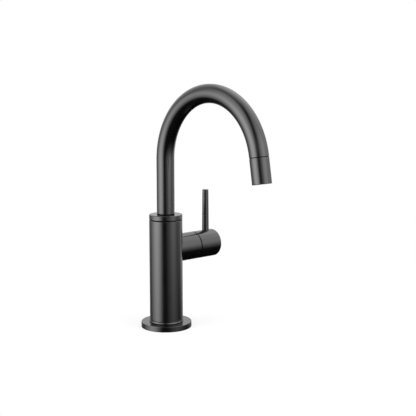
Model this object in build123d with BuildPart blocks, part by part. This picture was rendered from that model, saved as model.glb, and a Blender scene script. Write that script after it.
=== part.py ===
from build123d import *

import os
from math import cos, radians, sin

# Deck mounted beverage faucet: a round column on a flange, a gooseneck spout that swivels in the
# column's cap, and a quarter turn valve in a hub on its side, worked by a thin upright lever.
# Millimetres. The origin is on the column's axis at the deck, +Z is up, the spout reaches
# towards -Y and the hub towards +X. Plain cylinders stand for the threads.

# Flange and column
flange_diameter = 54.3
flange_height = 5.7
flange_edge_round = 0.4
collar_gap = 0.6  # shadow gap between the flange and its collar
collar_height = 1.4
collar_flare = 0.6  # how far the collar's foot stands out past the column
foot_groove_width = 0.4  # between the collar and the column
foot_groove_depth = 0.9
column_diameter = 35.6
column_height = 108.5
column_wall = 1.6
column_edge_break = 0.4

# Cap on the column
cap_groove_width = 1.0
cap_groove_depth = 1.2
cap_rim_height = 4.9
cap_edge_break = 0.5
cap_lip_thickness = 1.3

# Gooseneck and its tip
tube_diameter = 19.05
tube_wall = 1.0
tube_groove_height = 0.9  # shadow groove in the tube on top of the cap
tube_groove_depth = 0.5
riser_length = 58.5  # from the cap's top to the start of the bend
bend_radius = 69.4  # to the tube's centre line
bend_angle = 170.6
tube_end_length = 1.0  # straight tube after the bend
tip_length = 25.7
tip_joint_gap = 0.7
tip_joint_depth = 0.6
tip_edge_break = 0.4

# Side hub and lever
hub_height = 84.1  # of its axis above the deck
hub_diameter = 30.0
hub_reach = 68.0  # from the column's axis to the hub's end
hub_joint_reach = 39.0
hub_joint_gap = 0.9
hub_joint_break = 0.3
hub_end_round = 1.2
sleeve_wall = 1.7
lever_reach = 57.1
lever_height = 60.5  # above the hub's axis
lever_root_diameter = 7.95  # at the hub's axis
lever_top_diameter = 6.78
lever_edge_break = 0.3
lever_seat_height = 6.0  # of the shoulder it stands on, above the hub's axis
lever_thread_diameter = 5.0
lever_thread_length = 8.0

# Clearances
press_gap = 0.03  # round pieces that are pressed, brazed or screwed together
running_gap = 0.05  # round pieces that turn in each other, and lapped faces
slip_gap = 0.2  # round pieces that slide together by hand
shadow_gap = 0.3  # round the tube where it leaves the cap
core_gap = 0.3  # between the valve body and the column

# Underside of the faucet
foot_diameter = 27.0  # of the valve body where it passes through the flange
foot_block_height = 9.5
gasket_width = 7.0
gasket_thickness = 1.5
gasket_edge = 1.5  # flange left outside the gasket
clip_thickness = 1.0
clip_width = 3.0
clip_grip = 0.9  # depth of the groove that the clip snaps into
clip_cover = 1.9  # from the deck to the clip
inlet_offset = 7.0
inlet_thread_diameter = 9.0
inlet_thread_length = 13.0
stud_offset = 7.5
stud_thread_diameter = 6.8
stud_thread_length = 14.0

# Valve body
waist_diameter = 26.0
riser_passage_diameter = 6.0
inlet_chamber_diameter = 8.0
outlet_passage_diameter = 4.4
block_floor = 2.0  # below the side cavity's widest bore
seat_offset = 3.0  # of the valve's seat past the column's axis
gallery_length = 11.0
gallery_diameter = 22.0
side_thread_diameter = 24.0
spot_face_depth = 1.9
socket_floor = 2.0
socket_diameter = 16.1
neck_diameter = 27.8
neck_length = 6.5
core_drop = 6.6  # from the column's top to the valve body's top

# Seals with one cord size
ring_section = 1.8
groove_slack = 0.3

# Side nipple, bonnet nut and quarter turn valve
nipple_collar_diameter = 26.2
nipple_collar_stand = 2.2  # outside the column
nipple_barrel_diameter = 25.4
cartridge_diameter = 18.4
cartridge_head_diameter = 21.4
cartridge_head_thickness = 2.0
gland_depth = 4.5
gland_diameter = 21.8
lip_depth = 5.8  # from the sleeve's open end to its inner lip
lip_thickness = 1.5
lip_diameter = 23.0
nut_flange_diameter = 26.0
nut_flange_thickness = 1.6
nut_hex_size = 20.0
nut_hex_height = 3.0
nut_recess_diameter = 15.2
nut_recess_depth = 3.4
bell_diameter = 14.8  # inside the cartridge
bell_end_gap = 0.2
seal_thickness = 2.4
seal_opening_diameter = 8.4
disc_thickness = 2.5
disc_port_inner_radius = 1.8
disc_port_outer_radius = 5.8
disc_port_spread = 80.0
drive_slot_width = 3.0
drive_slot_depth = 1.0
driver_thickness = 3.5
driver_width = 5.5
stop_length = 3.8
stop_lug_spread = 80.0
stop_block_spread = 180.0
stop_wall_gap = 0.3
stem_diameter = 9.0
stem_clip_diameter = 13.0
stem_clip_thickness = 0.9
stem_clip_grip = 0.8
square_size = 6.4
square_start_cover = 1.1  # round shank left inside the bonnet nut
square_length = 14.5

# Handle
handle_turn = 90.0
spigot_length = 3.0
spigot_wall = 1.1
hub_cavity_depth = 1.3
set_screw_diameter = 4.0
set_screw_length = 6.0
set_screw_key = 2.0
set_screw_key_depth = 2.0

# Spout foot
collar_below_tube = 1.5
journal_spigot_length = 10.0
journal_passage_diameter = 9.0
journal_end_gap = 0.5
glide_washer_thickness = 1.2
retaining_ring_thickness = 1.5
retaining_ring_diameter = 23.2
retaining_ring_grip = 0.8
cap_shoulder_diameter = 22.0
cap_chamber_diameter = 24.0
split_opening = 20.0  # degrees missing from a split ring

# Inside the tip
tip_spigot_length = 3.0
tip_spigot_gap = 0.13
tip_thread_diameter = 16.0
tip_thread_length = 9.0
tip_passage_diameter = 12.0
washer_thickness = 0.8
tip_land_thickness = 2.0
tip_land_diameter = 13.6
insert_bore_diameter = 16.8
insert_recess = 1.5
screen_thickness = 0.4
screen_wire_gap = 0.9
screen_pitch = 1.6
flow_hole_diameter = 1.4
flow_hole_pitch = 2.1

# Radii and heights of the flange, column and cap
flange_radius = flange_diameter / 2
column_radius = column_diameter / 2
column_inner_radius = column_radius - column_wall
core_radius = column_inner_radius - core_gap
foot_radius = foot_diameter / 2
collar_bottom = flange_height + collar_gap
collar_top = collar_bottom + collar_height
column_bottom = collar_top + foot_groove_width
column_top = column_bottom + column_height
cap_rim_bottom = column_top + cap_groove_width
cap_top = cap_rim_bottom + cap_rim_height
cap_neck_radius = column_radius - cap_groove_depth
cap_skirt_radius = column_inner_radius - slip_gap

# Spout foot, from the valve body's top upwards
tube_radius = tube_diameter / 2
tube_bore_radius = tube_radius - tube_wall
body_top = column_top - core_drop
ring_bottom = body_top + glide_washer_thickness + running_gap
ring_top = ring_bottom + retaining_ring_thickness
journal_collar_bottom = ring_top + running_gap
tube_foot = journal_collar_bottom + collar_below_tube
cap_shoulder = ring_top + 2 * running_gap
cap_lip_bottom = cap_top - cap_lip_thickness
neck_radius = neck_diameter / 2
neck_bottom = body_top - neck_length
socket_radius = socket_diameter / 2
journal_radius = socket_radius - running_gap
ring_seat_radius = journal_radius - retaining_ring_grip

# Stations along the hub's axis, from the column's axis outwards
hub_radius = hub_diameter / 2
gallery_radius = gallery_diameter / 2
side_thread_radius = side_thread_diameter / 2
seat_station = -seat_offset
thread_station = seat_station + gallery_length
spot_station = core_radius - spot_face_depth
collar_station = column_radius + nipple_collar_stand
sleeve_end = hub_joint_reach - hub_joint_gap / 2
handle_start = hub_joint_reach + hub_joint_gap / 2
lip_outer = sleeve_end - lip_depth
lip_inner = lip_outer - lip_thickness
head_seat = lip_inner - gland_depth
head_outer = head_seat + cartridge_head_thickness
nut_flange_end = lip_outer + nut_flange_thickness
nut_end = nut_flange_end + nut_hex_height
seal_end = seat_station + seal_thickness
fixed_disc_end = seal_end + disc_thickness
moving_disc_start = fixed_disc_end + running_gap
moving_disc_end = moving_disc_start + disc_thickness
driver_start = moving_disc_end + running_gap
driver_end = driver_start + driver_thickness
stop_start = driver_end + running_gap
stop_end = stop_start + stop_length
square_start = nut_end - square_start_cover
square_end = square_start + square_length
hub_cavity_end = handle_start + hub_cavity_depth
sleeve_bore_radius = hub_radius - sleeve_wall
spigot_radius = sleeve_bore_radius - slip_gap
spigot_bore_radius = spigot_radius - spigot_wall
nipple_collar_radius = nipple_collar_diameter / 2
window_radius = nipple_collar_radius + slip_gap
nipple_bore_radius = cartridge_diameter / 2 + press_gap
stem_radius = stem_diameter / 2
stem_bore_radius = stem_radius + running_gap
bell_radius = bell_diameter / 2
disc_radius = bell_radius - running_gap
stop_radius = bell_radius - stop_wall_gap
square_half = square_size / 2

# The valve body's cavity and socket
block_bottom = hub_height - side_thread_radius - block_floor
socket_bottom = hub_height + side_thread_radius + socket_floor
journal_bottom = socket_bottom + journal_end_gap
outlet_offset = (fixed_disc_end + driver_end) / 2

# The bend, and the tube's straight end and the tip after it
bend_start = cap_top + riser_length
bend_end_y = -bend_radius * (1 - cos(radians(bend_angle)))
bend_end_z = bend_start + bend_radius * sin(radians(bend_angle))
tip_direction = (0, -sin(radians(bend_angle)), cos(radians(bend_angle)))
tube_end_y = bend_end_y + tube_end_length * tip_direction[1]
tube_end_z = bend_end_z + tube_end_length * tip_direction[2]
tip_thread_radius = tip_thread_diameter / 2
insert_radius = insert_bore_diameter / 2
land_start = tip_joint_gap + tip_thread_length + washer_thickness
insert_start = land_start + tip_land_thickness
screen_start = insert_start + washer_thickness
straightener_start = screen_start + screen_thickness
straightener_end = tip_length - insert_recess

# Lever
lever_root_radius = lever_root_diameter / 2
lever_top_radius = lever_top_diameter / 2
lever_seat_radius = lever_root_radius + (
    (lever_top_radius - lever_root_radius) * lever_seat_height / lever_height
)
lever_thread_radius = lever_thread_diameter / 2

# Planes: their normals run up the column, out along the hub and out of the spout's tip
upright = Plane.XY
across = Plane(origin=(0, 0, hub_height), x_dir=(0, 1, 0), z_dir=(1, 0, 0))
tip = Plane(origin=(0, tube_end_y, tube_end_z), x_dir=(1, 0, 0), z_dir=tip_direction)


def barrel(plane, start, end, radius, mode=Mode.ADD):
    """A round length, or a round hole, from start to end along the plane's normal."""
    with BuildSketch(plane.offset(start)) as section:
        Circle(radius)
    extrude(section.sketch, amount=end - start, mode=mode)


def ring(plane, start, end, inner_radius, outer_radius, mode=Mode.ADD):
    """A flat ring, or a groove, from start to end along the plane's normal."""
    with BuildSketch(plane.offset(start)) as section:
        Circle(outer_radius)
        Circle(inner_radius, mode=Mode.SUBTRACT)
    extrude(section.sketch, amount=end - start, mode=mode)


def sector(plane, start, end, inner_radius, outer_radius, middle, spread, mode=Mode.ADD):
    """A share of a ring, spread degrees wide about the angle middle."""
    with BuildSketch(plane.offset(start)) as section:
        with BuildLine():
            outer = CenterArc((0, 0), outer_radius, middle - spread / 2, spread)
            inner = CenterArc((0, 0), inner_radius, middle - spread / 2, spread)
            Line(inner @ 0, outer @ 0)
            Line(inner @ 1, outer @ 1)
        make_face()
    extrude(section.sketch, amount=end - start, mode=mode)


def seal_groove(plane, middle, shaft_radius, bore_radius):
    """Cuts the groove of one sealing ring into a shaft that stands in that bore."""
    floor = bore_radius - 2 * running_gap - ring_section
    width = ring_section + groove_slack
    start = middle - width / 2
    ring(plane, start, start + width, floor, shaft_radius + slip_gap, mode=Mode.SUBTRACT)


def seal_ring(plane, middle, bore_radius):
    """One sealing ring of the common cord size, just clear of the bore round it."""
    with Locations(plane.offset(middle)):
        Torus(bore_radius - running_gap - ring_section / 2, ring_section / 2)


def rim(plane_axis, end, radius):
    """The circular edge of that radius at the low (0) or high (-1) end along an axis."""
    circles = edges().filter_by(GeomType.CIRCLE)
    matching = circles.filter_by(lambda edge: abs(edge.radius - radius) < running_gap / 2)
    return matching.sort_by(plane_axis)[end]


def third_points(start, end):
    """The two places that divide a length into three equal parts."""
    return [start + (end - start) / 3, end - (end - start) / 3]


def save(builder, name):
    """Labels a finished piece and writes it under its name."""
    builder.part.label = name
    export_step(builder.part, f"parts/{name}.step")


os.makedirs("parts", exist_ok=True)

# Flange with its flared collar, the gasket's recess and the clip's recess underneath
gasket_outer_radius = flange_radius - gasket_edge
gasket_inner_radius = gasket_outer_radius - gasket_width
clip_seat = clip_cover + clip_thickness + running_gap
clip_outer_radius = foot_radius - clip_grip + clip_width
with BuildPart() as base_flange:
    barrel(upright, 0, flange_height, flange_radius)
    fillet(rim(Axis.Z, -1, flange_radius), flange_edge_round)
    barrel(upright, flange_height, column_bottom, column_radius - foot_groove_depth)
    with Locations(upright.offset(collar_bottom)):
        Cone(
            column_radius + collar_flare,
            column_radius,
            collar_height,
            align=(Align.CENTER, Align.CENTER, Align.MIN),
        )
    barrel(upright, 0, column_bottom, foot_radius + slip_gap, mode=Mode.SUBTRACT)
    barrel(upright, 0, clip_seat, clip_outer_radius + slip_gap, mode=Mode.SUBTRACT)
    ring(upright, 0, gasket_thickness, gasket_inner_radius, gasket_outer_radius, mode=Mode.SUBTRACT)
save(base_flange, "base_flange")

with BuildPart() as deck_gasket:
    ring(
        upright, 0, gasket_thickness, gasket_inner_radius + press_gap, gasket_outer_radius - press_gap
    )
save(deck_gasket, "deck_gasket")

with BuildPart() as flange_clip:
    sector(
        upright,
        clip_cover,
        clip_cover + clip_thickness,
        foot_radius - clip_grip + press_gap,
        clip_outer_radius,
        0,
        360 - split_opening,
    )
save(flange_clip, "flange_clip")

# Column: a tube with a round window on the hub's side
with BuildPart() as column_shell:
    ring(upright, column_bottom, column_top, column_inner_radius, column_radius)
    chamfer(rim(Axis.Z, -1, column_radius), column_edge_break)
    barrel(across, 0, column_radius + slip_gap, window_radius, mode=Mode.SUBTRACT)
save(column_shell, "column_shell")

# Cap: a rim over a shadow groove, and a skirt that screws on the valve body's neck
with BuildPart() as column_cap:
    barrel(upright, cap_rim_bottom, cap_top, column_radius)
    chamfer(rim(Axis.Z, -1, column_radius), cap_edge_break)
    barrel(upright, column_top, cap_rim_bottom, cap_neck_radius)
    barrel(upright, neck_bottom + slip_gap, column_top, cap_skirt_radius)
    barrel(upright, neck_bottom, body_top + slip_gap, neck_radius + press_gap, mode=Mode.SUBTRACT)
    barrel(upright, body_top, cap_shoulder, cap_chamber_diameter / 2, mode=Mode.SUBTRACT)
    barrel(upright, cap_shoulder, cap_lip_bottom, cap_shoulder_diameter / 2, mode=Mode.SUBTRACT)
    barrel(upright, cap_lip_bottom, cap_top, tube_radius + shadow_gap, mode=Mode.SUBTRACT)
save(column_cap, "column_cap")

with BuildPart() as spout_bushing:
    ring(
        upright,
        cap_shoulder,
        cap_lip_bottom - press_gap,
        tube_radius + running_gap,
        cap_shoulder_diameter / 2 - press_gap,
    )
save(spout_bushing, "spout_bushing")

with BuildPart() as glide_washer:
    ring(
        upright,
        body_top,
        body_top + glide_washer_thickness,
        journal_radius + slip_gap,
        cap_chamber_diameter / 2 - slip_gap,
    )
save(glide_washer, "glide_washer")

# Valve body: foot, waist and block, with the water's way from the inlet to the spout's socket
foot_block_top = column_bottom + foot_block_height
with BuildPart() as valve_body:
    barrel(upright, 0, column_bottom, foot_radius)
    barrel(upright, column_bottom, foot_block_top, core_radius)
    barrel(upright, foot_block_top, block_bottom, waist_diameter / 2)
    barrel(upright, block_bottom, neck_bottom, core_radius)
    barrel(upright, neck_bottom, body_top, neck_radius)
    ring(
        upright,
        clip_cover,
        clip_cover + clip_thickness,
        foot_radius - clip_grip,
        foot_radius + slip_gap,
        mode=Mode.SUBTRACT,
    )
    with BuildSketch(upright):
        with Locations((-inlet_offset, 0)):
            Circle(inlet_thread_diameter / 2)
    extrude(amount=inlet_thread_length, mode=Mode.SUBTRACT)
    with BuildSketch(upright):
        with Locations((stud_offset, 0)):
            Circle(stud_thread_diameter / 2)
    extrude(amount=stud_thread_length, mode=Mode.SUBTRACT)
    with BuildSketch(upright.offset(inlet_thread_length)):
        with Locations((-inlet_offset, 0)):
            Circle(riser_passage_diameter / 2)
    extrude(amount=hub_height - inlet_thread_length, mode=Mode.SUBTRACT)
    barrel(
        across, -inlet_offset, seat_station, inlet_chamber_diameter / 2, mode=Mode.SUBTRACT
    )
    barrel(across, seat_station, thread_station, gallery_radius, mode=Mode.SUBTRACT)
    barrel(across, thread_station, spot_station, side_thread_radius, mode=Mode.SUBTRACT)
    barrel(across, spot_station, column_radius, window_radius, mode=Mode.SUBTRACT)
    barrel(upright, socket_bottom, body_top, socket_radius, mode=Mode.SUBTRACT)
    with BuildSketch(upright.offset(hub_height)):
        with Locations((outlet_offset, 0)):
            Circle(outlet_passage_diameter / 2)
    extrude(amount=socket_bottom - hub_height, mode=Mode.SUBTRACT)
save(valve_body, "valve_body")

# Side nipple: screws through the column's window into the valve body and carries the hub sleeve
nipple_seal_station = thread_station + ring_section
nipple_thread_radius = side_thread_radius - press_gap
with BuildPart() as side_nipple:
    barrel(across, thread_station + press_gap, spot_station, nipple_thread_radius)
    barrel(across, spot_station, collar_station, nipple_collar_radius)
    barrel(across, collar_station, lip_inner, nipple_barrel_diameter / 2)
    barrel(across, thread_station, head_seat, nipple_bore_radius, mode=Mode.SUBTRACT)
    barrel(across, head_seat, lip_inner, gland_diameter / 2, mode=Mode.SUBTRACT)
    seal_groove(across, nipple_seal_station, nipple_thread_radius, side_thread_radius)
save(side_nipple, "side_nipple")

with BuildPart() as nipple_o_ring:
    seal_ring(across, nipple_seal_station, side_thread_radius)
save(nipple_o_ring, "nipple_o_ring")

# Hub sleeve: its inner end is coped to the column, and the nut holds it by an inner lip
with BuildPart() as hub_sleeve:
    barrel(across, 0, sleeve_end, hub_radius)
    chamfer(rim(Axis.X, -1, hub_radius), hub_joint_break)
    barrel(across, 0, lip_inner, sleeve_bore_radius, mode=Mode.SUBTRACT)
    barrel(across, lip_inner, lip_outer, lip_diameter / 2, mode=Mode.SUBTRACT)
    barrel(across, lip_outer, sleeve_end, sleeve_bore_radius, mode=Mode.SUBTRACT)
    barrel(upright, 0, column_top, column_radius + press_gap, mode=Mode.SUBTRACT)
save(hub_sleeve, "hub_sleeve")

with BuildPart() as bonnet_nut:
    barrel(across, head_outer + press_gap, lip_outer, gland_diameter / 2 - press_gap)
    barrel(across, lip_outer, nut_flange_end, nut_flange_diameter / 2)
    with BuildSketch(across.offset(nut_flange_end)):
        RegularPolygon(nut_hex_size / 2, side_count=6, major_radius=False)
    extrude(amount=nut_hex_height)
    barrel(across, head_outer, nut_end, stem_radius + slip_gap, mode=Mode.SUBTRACT)
    barrel(
        across, head_outer, head_outer + nut_recess_depth, nut_recess_diameter / 2, mode=Mode.SUBTRACT
    )
save(bonnet_nut, "bonnet_nut")

# Quarter turn valve: its body, with outlet windows in the bell and a stop for the stem's lug
cartridge_radius = cartridge_diameter / 2
cartridge_seal_station = (stop_end + head_seat) / 2
stem_seal_stations = third_points(stop_end, head_outer)
with BuildPart() as cartridge_body:
    barrel(across, seat_station + bell_end_gap, head_outer, cartridge_radius)
    barrel(across, head_seat, head_outer, cartridge_head_diameter / 2)
    barrel(across, seat_station, stop_end, bell_radius, mode=Mode.SUBTRACT)
    sector(
        across,
        stop_start,
        stop_end,
        stem_radius + slip_gap,
        (bell_radius + cartridge_radius) / 2,
        -90,
        stop_block_spread,
    )
    barrel(across, stop_end, head_outer, stem_bore_radius, mode=Mode.SUBTRACT)
    with BuildSketch(across.offset(fixed_disc_end)):
        Rectangle(driver_width, cartridge_diameter)
    extrude(amount=driver_end - fixed_disc_end, mode=Mode.SUBTRACT)
    seal_groove(across, cartridge_seal_station, cartridge_radius, nipple_bore_radius)
save(cartridge_body, "cartridge_body")

with BuildPart() as cartridge_o_ring:
    seal_ring(across, cartridge_seal_station, nipple_bore_radius)
save(cartridge_o_ring, "cartridge_o_ring")

with BuildPart() as seat_seal:
    ring(across, seat_station, seal_end, seal_opening_diameter / 2, disc_radius)
save(seat_seal, "seat_seal")


def port_pair(start, end, middle):
    """Cuts the two opposite water ports of a ceramic disc."""
    for angle in (middle, middle + 180):
        sector(
            across,
            start,
            end,
            disc_port_inner_radius,
            disc_port_outer_radius,
            angle,
            disc_port_spread,
            mode=Mode.SUBTRACT,
        )


# Ceramic discs: closed at rest, their ports a quarter turn apart
with BuildPart() as ceramic_disc_fixed:
    barrel(across, seal_end, fixed_disc_end, disc_radius)
    port_pair(seal_end, fixed_disc_end, handle_turn)
save(ceramic_disc_fixed, "ceramic_disc_fixed")

with BuildPart() as ceramic_disc_moving:
    barrel(across, moving_disc_start, moving_disc_end, disc_radius)
    port_pair(moving_disc_start, moving_disc_end, 0)
    with BuildSketch(across.offset(moving_disc_end - drive_slot_depth)):
        Rectangle(drive_slot_width, bell_diameter)
    extrude(amount=drive_slot_depth, mode=Mode.SUBTRACT)
save(ceramic_disc_moving, "ceramic_disc_moving")

# Stem: tongue and paddle that drive the disc, stop lug, sealed shank and square end
clip_groove_start = head_outer + running_gap
clip_groove_end = clip_groove_start + stem_clip_thickness + running_gap
stop_travel_margin = (360 - stop_lug_spread - stop_block_spread - handle_turn) / 2
stop_free_start = stop_block_spread / 2 - 90
lug_middle = stop_free_start + stop_travel_margin + stop_lug_spread / 2
with BuildPart() as cartridge_stem:
    with BuildSketch(across.offset(driver_start)):
        Circle(stop_radius)
        Rectangle(driver_width, bell_diameter, mode=Mode.INTERSECT)
    extrude(amount=driver_thickness)
    with BuildSketch(across.offset(moving_disc_end - drive_slot_depth + running_gap)):
        Circle(stop_radius)
        Rectangle(drive_slot_width - 2 * running_gap, bell_diameter, mode=Mode.INTERSECT)
    extrude(amount=driver_start + running_gap - moving_disc_end + drive_slot_depth)
    barrel(across, driver_end, square_start, stem_radius)
    sector(
        across,
        driver_end,
        stop_end - running_gap,
        stem_radius / 2,
        stop_radius,
        lug_middle,
        stop_lug_spread,
    )
    with BuildSketch(across.offset(square_start)):
        Rectangle(square_size, square_size)
    extrude(amount=square_length)
    ring(
        across,
        clip_groove_start,
        clip_groove_end,
        stem_radius - stem_clip_grip,
        stem_radius + slip_gap,
        mode=Mode.SUBTRACT,
    )
    for station in stem_seal_stations:
        seal_groove(across, station, stem_radius, stem_bore_radius)
save(cartridge_stem, "cartridge_stem")

with BuildPart() as stem_o_rings:
    for station in stem_seal_stations:
        seal_ring(across, station, stem_bore_radius)
save(stem_o_rings, "stem_o_rings")

with BuildPart() as stem_clip:
    sector(
        across,
        clip_groove_start + running_gap / 2,
        clip_groove_end - running_gap / 2,
        stem_radius - stem_clip_grip + press_gap,
        stem_clip_diameter / 2,
        0,
        360 - 2 * split_opening,
    )
save(stem_clip, "stem_clip")

# Turning half of the hub, with the stem's square socket, the lever's hole and the grub screw's hole
screw_station = (hub_cavity_end + square_end) / 2
screw_radius = set_screw_diameter / 2
lever_hole_bottom = lever_seat_height - lever_thread_length - slip_gap
with BuildPart() as handle_hub:
    barrel(across, handle_start, hub_reach, hub_radius)
    fillet(rim(Axis.X, -1, hub_radius), hub_end_round)
    chamfer(rim(Axis.X, 0, hub_radius), hub_joint_break)
    barrel(across, handle_start - spigot_length, handle_start, spigot_radius)
    barrel(
        across, handle_start - spigot_length, hub_cavity_end, spigot_bore_radius, mode=Mode.SUBTRACT
    )
    with BuildSketch(across.offset(hub_cavity_end)):
        Rectangle(square_size + 2 * press_gap, square_size + 2 * press_gap)
    extrude(amount=square_end + slip_gap - hub_cavity_end, mode=Mode.SUBTRACT)
    with BuildSketch(upright.offset(hub_height + lever_seat_height)):
        with Locations((lever_reach, 0)):
            Circle(lever_seat_radius + press_gap)
    extrude(amount=hub_radius, mode=Mode.SUBTRACT)
    with BuildSketch(upright.offset(hub_height + lever_hole_bottom)):
        with Locations((lever_reach, 0)):
            Circle(lever_thread_radius + press_gap)
    extrude(amount=lever_seat_height - lever_hole_bottom, mode=Mode.SUBTRACT)
    with BuildSketch(upright.offset(hub_height - hub_radius)):
        with Locations((screw_station, 0)):
            Circle(screw_radius + press_gap)
    extrude(amount=hub_radius, mode=Mode.SUBTRACT)
save(handle_hub, "handle_hub")

with BuildPart() as handle_set_screw:
    screw_top = hub_height - square_half - press_gap
    with BuildSketch(upright.offset(screw_top - set_screw_length)):
        with Locations((screw_station, 0)):
            Circle(screw_radius)
    extrude(amount=set_screw_length)
    with BuildSketch(upright.offset(screw_top - set_screw_length)):
        with Locations((screw_station, 0)):
            RegularPolygon(set_screw_key / 2, side_count=6, major_radius=False)
    extrude(amount=set_screw_key_depth, mode=Mode.SUBTRACT)
save(handle_set_screw, "handle_set_screw")

# Lever: a thin rod that narrows to its flat top, with a threaded tail in the hub
with BuildPart() as lever_rod:
    with BuildSketch(upright.offset(hub_height + lever_seat_height)):
        with Locations((lever_reach, 0)):
            Circle(lever_seat_radius)
    with BuildSketch(upright.offset(hub_height + lever_height)):
        with Locations((lever_reach, 0)):
            Circle(lever_top_radius)
    loft()
    chamfer(rim(Axis.Z, -1, lever_top_radius), lever_edge_break)
    with BuildSketch(upright.offset(hub_height + lever_seat_height - lever_thread_length)):
        with Locations((lever_reach, 0)):
            Circle(lever_thread_radius)
    extrude(amount=lever_thread_length)
save(lever_rod, "lever_rod")

# Gooseneck: one tube, straight up from the cap and round the bend
with BuildPart() as spout_tube:
    with BuildLine(Plane.YZ):
        riser = Line((0, tube_foot), (0, bend_start))
        JernArc(riser @ 1, riser % 1, bend_radius, bend_angle)
        Line((bend_end_y, bend_end_z), (tube_end_y, tube_end_z))
    with BuildSketch(upright.offset(tube_foot)):
        Circle(tube_radius)
        Circle(tube_bore_radius, mode=Mode.SUBTRACT)
    sweep()
    ring(
        upright,
        cap_top,
        cap_top + tube_groove_height,
        tube_radius - tube_groove_depth,
        tube_radius + slip_gap,
        mode=Mode.SUBTRACT,
    )
save(spout_tube, "spout_tube")

# Journal: brazed into the tube's foot, turns in the valve body's socket
spout_seal_heights = third_points(journal_bottom, body_top)
with BuildPart() as spout_journal:
    barrel(upright, tube_foot, tube_foot + journal_spigot_length, tube_bore_radius - press_gap)
    barrel(upright, journal_collar_bottom, tube_foot, tube_radius)
    barrel(upright, ring_bottom - running_gap, journal_collar_bottom, ring_seat_radius)
    barrel(upright, journal_bottom, ring_bottom - running_gap, journal_radius)
    barrel(
        upright,
        journal_bottom,
        tube_foot + journal_spigot_length,
        journal_passage_diameter / 2,
        mode=Mode.SUBTRACT,
    )
    for height in spout_seal_heights:
        seal_groove(upright, height, journal_radius, socket_radius)
save(spout_journal, "spout_journal")

with BuildPart() as spout_o_rings:
    for height in spout_seal_heights:
        seal_ring(upright, height, socket_radius)
save(spout_o_rings, "spout_o_rings")

with BuildPart() as spout_retaining_ring:
    sector(
        upright,
        ring_bottom,
        ring_top,
        ring_seat_radius + press_gap,
        retaining_ring_diameter / 2,
        90,
        360 - split_opening,
    )
save(spout_retaining_ring, "spout_retaining_ring")

# Fitting in the tube's far end, which the tip screws on
with BuildPart() as tip_nipple:
    barrel(tip, -tip_spigot_length, 0, tube_bore_radius - tip_spigot_gap)
    barrel(tip, 0, tip_joint_gap + tip_thread_length, tip_thread_radius)
    barrel(
        tip,
        -tip_spigot_length,
        tip_joint_gap + tip_thread_length,
        tip_passage_diameter / 2,
        mode=Mode.SUBTRACT,
    )
save(tip_nipple, "tip_nipple")

with BuildPart() as nipple_washer:
    ring(
        tip,
        tip_joint_gap + tip_thread_length,
        land_start,
        tip_passage_diameter / 2,
        tip_thread_radius - press_gap,
    )
save(nipple_washer, "nipple_washer")

# Tip of the spout, with the flow straightener set back in its mouth
with BuildPart() as aerator_housing:
    barrel(tip, tip_joint_gap, tip_length, tube_radius)
    mouth_ring = edges().filter_by(GeomType.CIRCLE).sort_by(
        lambda edge: abs(tip.to_local_coords(edge.arc_center).Z - tip_length)
    )[0]
    chamfer(mouth_ring, tip_edge_break)
    barrel(tip, running_gap, tip_joint_gap, tube_radius - tip_joint_depth)
    barrel(tip, running_gap, land_start, tip_thread_radius + press_gap, mode=Mode.SUBTRACT)
    barrel(tip, land_start, insert_start, tip_land_diameter / 2, mode=Mode.SUBTRACT)
    barrel(tip, insert_start, tip_length, insert_radius, mode=Mode.SUBTRACT)
save(aerator_housing, "aerator_housing")

with BuildPart() as insert_washer:
    ring(tip, insert_start, screen_start, tip_passage_diameter / 2, insert_radius - press_gap)
save(insert_washer, "insert_washer")

screen_reach = tip_passage_diameter / 2
screen_count = int(2 * screen_reach / screen_pitch) + 1
with BuildPart() as outlet_screen:
    barrel(tip, screen_start, straightener_start, insert_radius - press_gap)
    with BuildSketch(tip.offset(screen_start)):
        with GridLocations(screen_pitch, screen_pitch, screen_count, screen_count):
            Rectangle(screen_wire_gap, screen_wire_gap)
        Circle(screen_reach, mode=Mode.INTERSECT)
    extrude(amount=screen_thickness, mode=Mode.SUBTRACT)
save(outlet_screen, "outlet_screen")

hole_reach = insert_radius - flow_hole_pitch
hole_count = int(2 * insert_radius / flow_hole_pitch)
hole_places = [
    place.position
    for place in HexLocations(flow_hole_pitch / 2, hole_count, hole_count, major_radius=False)
    if place.position.length < hole_reach
]
with BuildPart() as flow_straightener:
    barrel(tip, straightener_start, straightener_end, insert_radius - press_gap)
    with BuildSketch(tip.offset(straightener_start)):
        with Locations(*hole_places):
            Circle(flow_hole_diameter / 2)
    extrude(amount=straightener_end - straightener_start, mode=Mode.SUBTRACT)
save(flow_straightener, "flow_straightener")
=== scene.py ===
"""Dresses the beverage faucet: a satin black outside, the brass, rubber, plastic, steel and
ceramic pieces inside it, and a plain pale studio."""

import math

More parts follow.
